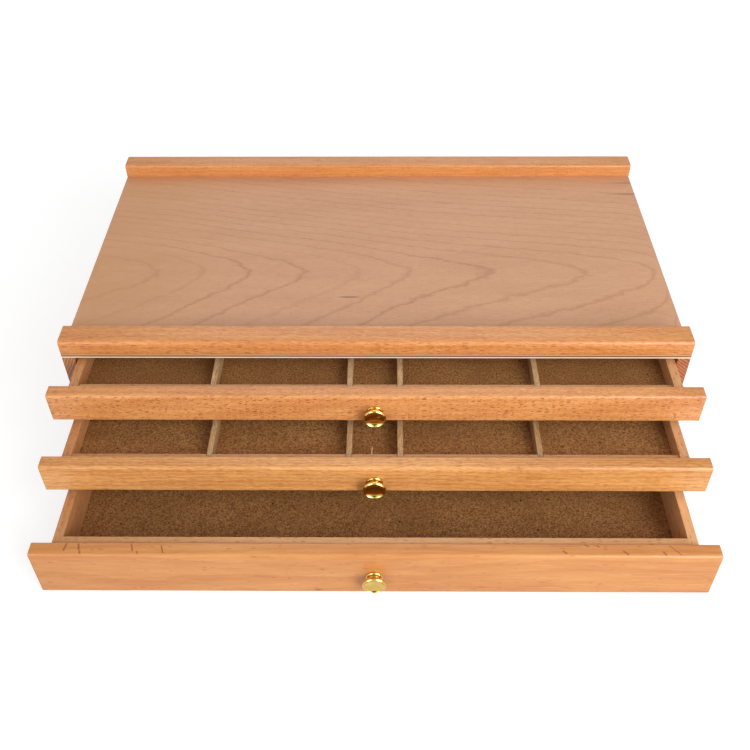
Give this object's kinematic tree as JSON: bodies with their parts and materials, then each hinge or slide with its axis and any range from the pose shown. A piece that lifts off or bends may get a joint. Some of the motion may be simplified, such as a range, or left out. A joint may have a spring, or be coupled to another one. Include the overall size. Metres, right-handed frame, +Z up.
{
  "type": "wooden pastel drawer box",
  "caption": "Flat wooden box with shallow sliding drawers below a railed top, divided upper drawers and round brass knobs, for pastels and small art tools.",
  "frame": {"origin": "centre of the underside of the case", "axes": "+X to the right as seen from the front, +Y to the back, +Z up; the drawers open towards -Y"},
  "size_m": [0.4044, 0.3501, 0.1],
  "materials": {
    "front_beech": "satin lacquered solid beech",
    "box_beech": "bare planed beech",
    "case_beech": "satin lacquered solid beech",
    "beech_plywood": "satin lacquered beech plywood",
    "hardboard": "smooth brown hardboard",
    "divider_wood": "bare plywood strip",
    "brass": "polished",
    "stud_steel": "zinc plated"
  },
  "bodies": {
    "case": {"bottom_panel": "beech_plywood", "top_panel": "beech_plywood", "back_panel": "beech_plywood", "case_side_left": "case_beech", "case_side_right": "case_beech", "front_rail": "front_beech", "back_rail": "front_beech", "top_drawer_runner_left": "box_beech", "top_drawer_runner_right": "box_beech", "middle_drawer_runner_left": "box_beech", "middle_drawer_runner_right": "box_beech", "lower_drawer_runner_left": "box_beech", "lower_drawer_runner_right": "box_beech"},
    "top_drawer": {"top_drawer_front": "front_beech", "top_drawer_inner_front": "box_beech", "top_drawer_side_left": "box_beech", "top_drawer_side_right": "box_beech", "top_drawer_back": "box_beech", "top_drawer_bottom": "hardboard", "top_drawer_knob": "brass", "top_drawer_knob_stud": "stud_steel", "top_drawer_divider_1": "divider_wood", "top_drawer_divider_2": "divider_wood", "top_drawer_divider_3": "divider_wood", "top_drawer_divider_4": "divider_wood"},
    "middle_drawer": {"middle_drawer_front": "front_beech", "middle_drawer_inner_front": "box_beech", "middle_drawer_side_left": "box_beech", "middle_drawer_side_right": "box_beech", "middle_drawer_back": "box_beech", "middle_drawer_bottom": "hardboard", "middle_drawer_knob": "brass", "middle_drawer_knob_stud": "stud_steel", "middle_drawer_divider_1": "divider_wood", "middle_drawer_divider_2": "divider_wood", "middle_drawer_divider_3": "divider_wood", "middle_drawer_divider_4": "divider_wood"},
    "lower_drawer": {"lower_drawer_front": "front_beech", "lower_drawer_inner_front": "box_beech", "lower_drawer_side_left": "box_beech", "lower_drawer_side_right": "box_beech", "lower_drawer_back": "box_beech", "lower_drawer_bottom": "hardboard", "lower_drawer_knob": "brass", "lower_drawer_knob_stud": "stud_steel"}
  },
  "joints": [
    {"name": "top_drawer_slide", "type": "slide", "parent": "case", "child": "top_drawer", "axis": [0, -1, 0], "range_m": [-0.024, 0.126]},
    {"name": "middle_drawer_slide", "type": "slide", "parent": "case", "child": "middle_drawer", "axis": [0, -1, 0], "range_m": [-0.062, 0.088]},
    {"name": "lower_drawer_slide", "type": "slide", "parent": "case", "child": "lower_drawer", "axis": [0, -1, 0], "range_m": [-0.1078, 0.0422]}
  ]
}
